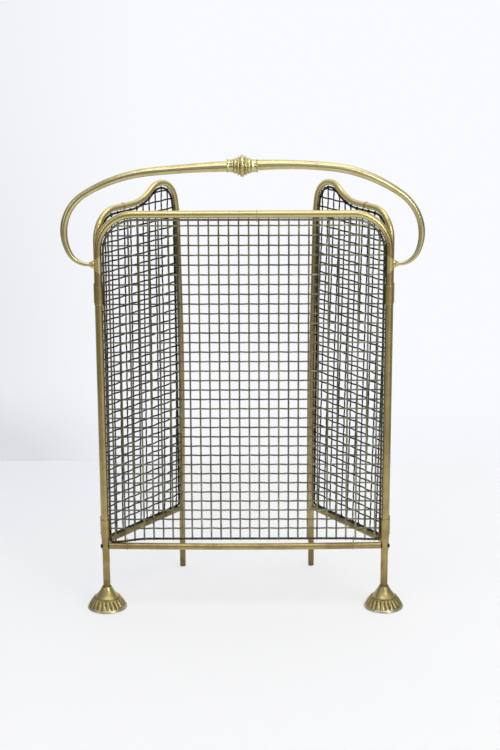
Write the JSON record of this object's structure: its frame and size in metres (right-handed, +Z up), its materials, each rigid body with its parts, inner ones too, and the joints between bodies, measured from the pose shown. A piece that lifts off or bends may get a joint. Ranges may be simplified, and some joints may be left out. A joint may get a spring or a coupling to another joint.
{
  "type": "folding fire guard",
  "caption": "Brass folding fire guard: a front panel on two cast feet, hinged wings on plain rear legs, woven wire cloth and a bow handle that swings down.",
  "frame": {"origin": "on the floor, at the middle of the bounding box", "axes": "+Z up, +Y to the back, from the front panel towards the fire; +X to the right seen from the front"},
  "size_m": [0.4594, 0.1786, 0.6072],
  "materials": {
    "frame_brass": "aged, half polished tube",
    "wing_brass": "aged tube with brown tarnish",
    "handle_brass": "polished by handling",
    "cast_brass": "cast, polished on the high spots",
    "cloth_wire": "dull, dark tarnish",
    "tie_wire": "pale soft wire",
    "screw_brass": "dark, worn"
  },
  "bodies": {
    "front_panel": {"front_frame": "frame_brass", "front_bottom_rail": "frame_brass", "front_wire_cloth": "cloth_wire", "rail_screw_left": "screw_brass", "rail_screw_right": "screw_brass", "front_foot_left": "cast_brass", "front_foot_right": "cast_brass", "handle_lug_left": "handle_brass", "handle_lug_right": "handle_brass", "hinge_clip_upper_left": "frame_brass", "hinge_clip_lower_left": "frame_brass", "hinge_clip_upper_right": "frame_brass", "hinge_clip_lower_right": "frame_brass", "front_tie_top": "tie_wire", "front_tie_bottom_left": "tie_wire", "front_tie_bottom_right": "tie_wire"},
    "handle": {"handle_knop": "handle_brass", "handle_arm_left": "handle_brass", "handle_arm_right": "handle_brass", "handle_leaf_cup_left": "handle_brass", "handle_leaf_cup_right": "handle_brass"},
    "left_wing": {"wing_frame_left": "wing_brass", "wing_bottom_rail_left": "wing_brass", "wing_wire_cloth_left": "cloth_wire", "wing_leg_plug_left": "cast_brass", "wing_upright_plug_left": "cast_brass", "wing_tie_top_left": "tie_wire", "wing_tie_bottom_left": "tie_wire"},
    "right_wing": {"wing_frame_right": "wing_brass", "wing_bottom_rail_right": "wing_brass", "wing_wire_cloth_right": "cloth_wire", "wing_leg_plug_right": "cast_brass", "wing_upright_plug_right": "cast_brass", "wing_tie_top_right": "tie_wire", "wing_tie_bottom_right": "tie_wire"}
  },
  "joints": [
    {"name": "left_wing_hinge", "type": "hinge", "parent": "front_panel", "child": "left_wing", "pos_m": [-0.18755, -0.05188, 0.27], "axis": [0, 0, 1], "range_deg": [-54, 125.9]},
    {"name": "right_wing_hinge", "type": "hinge", "parent": "front_panel", "child": "right_wing", "pos_m": [0.18755, -0.05188, 0.27], "axis": [0, 0, 1], "range_deg": [-124.2, 55.7]},
    {"name": "handle_swing", "type": "hinge", "parent": "front_panel", "child": "handle", "pos_m": [0, -0.06294, 0.4684], "axis": [1, 0, 0], "range_deg": [0, 170]}
  ]
}
